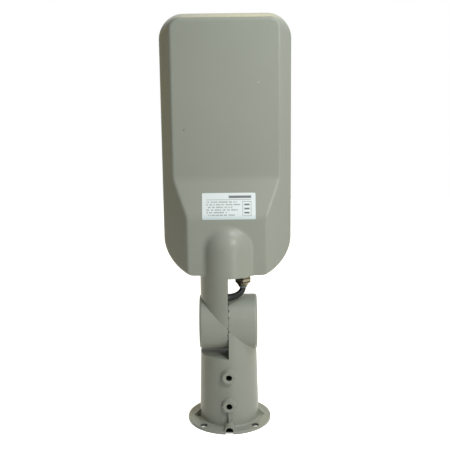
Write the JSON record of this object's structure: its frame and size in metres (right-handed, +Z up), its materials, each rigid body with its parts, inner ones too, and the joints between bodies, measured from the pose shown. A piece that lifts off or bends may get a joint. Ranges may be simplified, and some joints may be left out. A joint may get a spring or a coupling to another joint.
{
  "type": "LED street light head",
  "caption": "Flat LED street light head with a sloped die-cast housing, a half-round neck, a toothed tilt knuckle and a flanged socket for a pole.",
  "frame": {"origin": "centre of the foot flange's underside, on the axis of the pole socket", "axes": "+Z up the pole and along the head, -Y the roof side, +Y the lit side, X along the tilt axis"},
  "size_m": [0.151, 0.101, 0.489],
  "materials": {
    "casting_paint": "matte",
    "label_film": "satin",
    "bolt_steel": "satin",
    "gland_metal": "satin",
    "gland_rubber": "matte",
    "gland_seal_rubber": "matte",
    "lead_jacket": "satin",
    "core_insulation": "satin",
    "core_copper": "satin",
    "thermal_pad_grey": "matte",
    "board_white": "satin",
    "led_phosphor": "satin",
    "gasket_rubber": "matte",
    "lens_clear": "gloss",
    "driver_shell": "satin",
    "terminal_plastic": "matte"
  },
  "bodies": {
    "foot": {"pole_adapter": "casting_paint", "knuckle_bolt": "bolt_steel", "knuckle_washer": "bolt_steel", "knuckle_spring_washer": "bolt_steel", "knuckle_nut": "bolt_steel", "supply_lead_foot": "lead_jacket", "supply_cores": "core_insulation", "supply_core_tips": "core_copper"},
    "head": {"housing": "casting_paint", "driver_cover": "casting_paint", "rating_label": "label_film", "lens_screws": "bolt_steel", "driver_screws": "bolt_steel", "driver_cover_screws": "bolt_steel", "gland_body": "gland_metal", "gland_dome_nut": "gland_metal", "gland_seal": "gland_seal_rubber", "gland_o_ring": "gland_rubber", "supply_lead_head": "lead_jacket", "thermal_pad": "thermal_pad_grey", "led_board": "board_white", "leds": "led_phosphor", "lens_gasket": "gasket_rubber", "driver_cover_gasket": "gasket_rubber", "lens_plate": "lens_clear", "led_driver": "driver_shell", "terminal_block": "terminal_plastic"}
  },
  "joints": [
    {"name": "tilt", "type": "hinge", "parent": "foot", "child": "head", "pos_m": [0, 0, 0.1255], "axis": [1, 0, 0], "range_deg": [-90, 90]}
  ]
}
